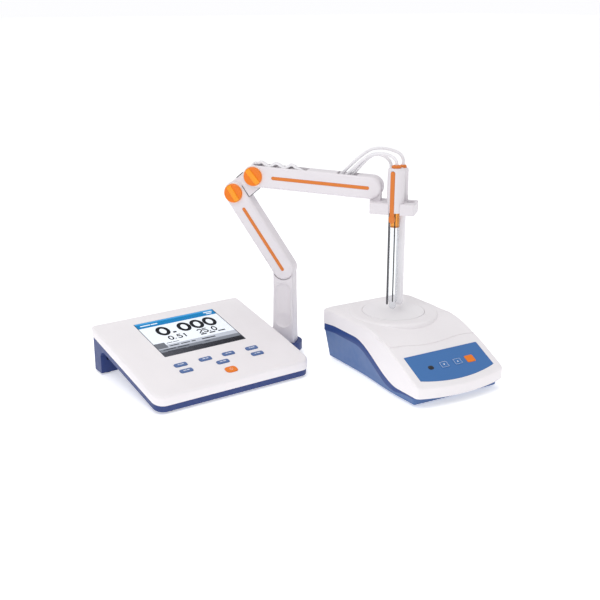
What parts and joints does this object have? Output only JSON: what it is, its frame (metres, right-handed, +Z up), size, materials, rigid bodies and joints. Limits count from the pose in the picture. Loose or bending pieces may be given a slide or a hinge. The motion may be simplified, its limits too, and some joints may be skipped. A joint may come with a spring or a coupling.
{
  "type": "ph meter",
  "caption": "Bench pH meter: sloping console with display and keys, swivelling two-link electrode arm, two probes, a temperature rod and a matching magnetic stirrer.",
  "frame": {"origin": "where the arm post's swivel axis meets the bench, on the face of the rubber pad under the arm bracket", "axes": "+Z up, +X to the right of the console seen from its front, -Y towards the user, so the console front faces -Y"},
  "size_m": [0.4474, 0.4062, 0.308],
  "materials": {
    "shell_white": "satin moulded ABS with a very fine spark texture",
    "base_blue": "satin moulded ABS, navy blue",
    "stirrer_blue": "satin moulded ABS, mid blue",
    "key_blue": "soft sheen key caps with light printed marks",
    "orange": "bright orange moulded plastic, fine grain",
    "panel_blue": "printed polyester panel foil",
    "window": "clear hard-coated acrylic",
    "lcd": "display module behind the window",
    "board": "green circuit board",
    "rubber": "dark moulded rubber",
    "silicone": "grey silicone key mat",
    "steel": "turned stainless steel",
    "gold": "nickel and gold plated sockets",
    "bush": "turned brass bush",
    "cable": "light grey flexible cable jacket",
    "glass": "clear laboratory glass",
    "amber": "amber transparent sleeve",
    "ref_body": "pale polycarbonate electrode body",
    "dark": "dark grey moulded plastic",
    "plate": "white enamelled stirring plate"
  },
  "bodies": {
    "console": {"case_top": "shell_white", "case_bottom": "base_blue", "display_window": "window", "lcd_panel": "lcd", "main_board": "board", "key_mat": "silicone", "console_feet": "rubber", "console_screws": "steel", "rear_sockets": "gold", "cable_tail": "cable", "arm_bracket": "base_blue", "swivel_bush": "bush"},
    "key_menu": {"key_menu": "key_blue"},
    "key_mode": {"key_mode": "key_blue"},
    "key_cal": {"key_cal": "key_blue"},
    "key_read": {"key_read": "key_blue"},
    "key_store": {"key_store": "key_blue"},
    "key_print": {"key_print": "key_blue"},
    "key_enter": {"key_enter": "key_blue"},
    "key_power": {"key_power": "orange"},
    "post": {"post": "shell_white", "swivel_bolt": "steel", "post_pin": "steel"},
    "lower_arm": {"lower_arm": "shell_white", "lower_stripe": "orange", "cable_lower": "cable"},
    "lower_rod": {"lower_rod": "steel"},
    "elbow_link": {"elbow_link": "shell_white", "elbow_bolts": "steel"},
    "upper_arm": {"upper_arm": "shell_white", "upper_stripe": "orange", "cable_upper": "cable"},
    "upper_rod": {"upper_rod": "steel"},
    "knob_lower": {"knob_lower": "orange"},
    "knob_upper": {"knob_upper": "orange"},
    "holder": {"holder": "shell_white", "wrist_pin": "steel", "cable_arc": "cable"},
    "ph_electrode": {"ph_cap": "shell_white", "ph_collar": "orange", "ph_shaft": "glass", "ph_sleeve": "amber"},
    "fill_slider": {"fill_slider": "orange"},
    "ref_electrode": {"ref_cap": "shell_white", "ref_collar": "orange", "ref_shaft": "ref_body"},
    "temp_probe": {"temp_rod": "steel", "temp_handle": "dark"},
    "stirrer": {"stirrer_base": "stirrer_blue", "stirrer_top": "shell_white", "stirrer_plate": "plate", "stirrer_panel": "panel_blue", "stirrer_motor": "dark", "stirrer_board": "board", "stirrer_feet": "rubber"},
    "stirrer_key_down": {"stirrer_key_down": "panel_blue"},
    "stirrer_key_up": {"stirrer_key_up": "panel_blue"},
    "stirrer_key_power": {"stirrer_key_power": "orange"},
    "stirrer_rotor": {"stirrer_rotor": "steel", "stirrer_magnets": "dark"}
  },
  "joints": [
    {"name": "press_menu", "type": "slide", "parent": "console", "child": "key_menu", "axis": [0, 0.225, -0.9744], "range_m": [0, 0.001], "stiffness_N_per_m": 400},
    {"name": "press_mode", "type": "slide", "parent": "console", "child": "key_mode", "axis": [0, 0.225, -0.9744], "range_m": [0, 0.001], "stiffness_N_per_m": 400},
    {"name": "press_cal", "type": "slide", "parent": "console", "child": "key_cal", "axis": [0, 0.225, -0.9744], "range_m": [0, 0.001], "stiffness_N_per_m": 400},
    {"name": "press_read", "type": "slide", "parent": "console", "child": "key_read", "axis": [0, 0.225, -0.9744], "range_m": [0, 0.001], "stiffness_N_per_m": 400},
    {"name": "press_store", "type": "slide", "parent": "console", "child": "key_store", "axis": [0, 0.225, -0.9744], "range_m": [0, 0.001], "stiffness_N_per_m": 400},
    {"name": "press_print", "type": "slide", "parent": "console", "child": "key_print", "axis": [0, 0.225, -0.9744], "range_m": [0, 0.001], "stiffness_N_per_m": 400},
    {"name": "press_enter", "type": "slide", "parent": "console", "child": "key_enter", "axis": [0, 0.225, -0.9744], "range_m": [0, 0.001], "stiffness_N_per_m": 400},
    {"name": "press_power", "type": "slide", "parent": "console", "child": "key_power", "axis": [0, 0.225, -0.9744], "range_m": [0, 0.001], "stiffness_N_per_m": 400},
    {"name": "arm_swivel", "type": "hinge", "parent": "console", "child": "post", "pos_m": [0, 0, 0.02], "axis": [0, 0, 1], "range_deg": [-90, 90]},
    {"name": "lower_arm_lift", "type": "hinge", "parent": "post", "child": "lower_arm", "pos_m": [0, 0, 0.133], "axis": [0.7771, 0.6293, 0], "range_deg": [-1, 60]},
    {"name": "lower_rod_swing", "type": "hinge", "parent": "post", "child": "lower_rod", "pos_m": [0.00564, -0.00697, 0.13375], "axis": [0.7771, 0.6293, 0], "range_deg": [-1, 60]},
    {"name": "elbow_level", "type": "hinge", "parent": "lower_arm", "child": "elbow_link", "pos_m": [-0.04586, 0.05663, 0.24186], "axis": [0.7771, 0.6293, 0], "range_deg": [-60, 1]},
    {"name": "upper_arm_lift", "type": "hinge", "parent": "elbow_link", "child": "upper_arm", "pos_m": [-0.02698, 0.03332, 0.26739], "axis": [-0.7771, -0.6293, 0], "range_deg": [-1.5, 32]},
    {"name": "upper_rod_swing", "type": "hinge", "parent": "elbow_link", "child": "upper_rod", "pos_m": [-0.02542, 0.03139, 0.25874], "axis": [-0.7771, -0.6293, 0], "range_deg": [-1.5, 32]},
    {"name": "holder_level", "type": "hinge", "parent": "upper_arm", "child": "holder", "pos_m": [0.07968, -0.0984, 0.25881], "axis": [-0.7771, -0.6293, 0], "range_deg": [-32, 1.5]},
    {"name": "lower_knob_turn", "type": "hinge", "parent": "elbow_link", "child": "knob_lower", "pos_m": [-0.04586, 0.05663, 0.24186], "axis": [0.7771, 0.6293, 0], "range_deg": [-90, 90]},
    {"name": "upper_knob_turn", "type": "hinge", "parent": "elbow_link", "child": "knob_upper", "pos_m": [-0.02698, 0.03332, 0.26739], "axis": [0.7771, 0.6293, 0], "range_deg": [-90, 90]},
    {"name": "ph_electrode_slide", "type": "slide", "parent": "holder", "child": "ph_electrode", "axis": [0, 0, 1], "range_m": [0, 0.04]},
    {"name": "fill_slider_slide", "type": "slide", "parent": "ph_electrode", "child": "fill_slider", "axis": [0, 0, -1], "range_m": [0, 0.008]},
    {"name": "ref_electrode_slide", "type": "slide", "parent": "holder", "child": "ref_electrode", "axis": [0, 0, 1], "range_m": [0, 0.04]},
    {"name": "temp_probe_slide", "type": "slide", "parent": "holder", "child": "temp_probe", "axis": [0, 0, 1], "range_m": [0, 0.04]},
    {"name": "stirrer_shift", "type": "slide", "parent": "console", "child": "stirrer", "axis": [1, 0, 0], "range_m": [0, 0.06]},
    {"name": "press_stirrer_down", "type": "slide", "parent": "stirrer", "child": "stirrer_key_down", "axis": [0.0356, 0.4627, -0.8858], "range_m": [0, 0.0005], "stiffness_N_per_m": 400},
    {"name": "press_stirrer_up", "type": "slide", "parent": "stirrer", "child": "stirrer_key_up", "axis": [0.0356, 0.4627, -0.8858], "range_m": [0, 0.0005], "stiffness_N_per_m": 400},
    {"name": "press_stirrer_power", "type": "slide", "parent": "stirrer", "child": "stirrer_key_power", "axis": [0.0356, 0.4627, -0.8858], "range_m": [0, 0.0005], "stiffness_N_per_m": 400},
    {"name": "rotor_spin", "type": "hinge", "parent": "stirrer", "child": "stirrer_rotor", "pos_m": [0.10184, -0.12611, 0.06], "axis": [0, 0, 1], "continuous": true}
  ],
  "couplings": [
    {"joint": "lower_rod_swing", "follows": "lower_arm_lift", "ratio": 1},
    {"joint": "elbow_level", "follows": "lower_arm_lift", "ratio": -1},
    {"joint": "upper_rod_swing", "follows": "upper_arm_lift", "ratio": 1},
    {"joint": "holder_level", "follows": "upper_arm_lift", "ratio": -1}
  ]
}
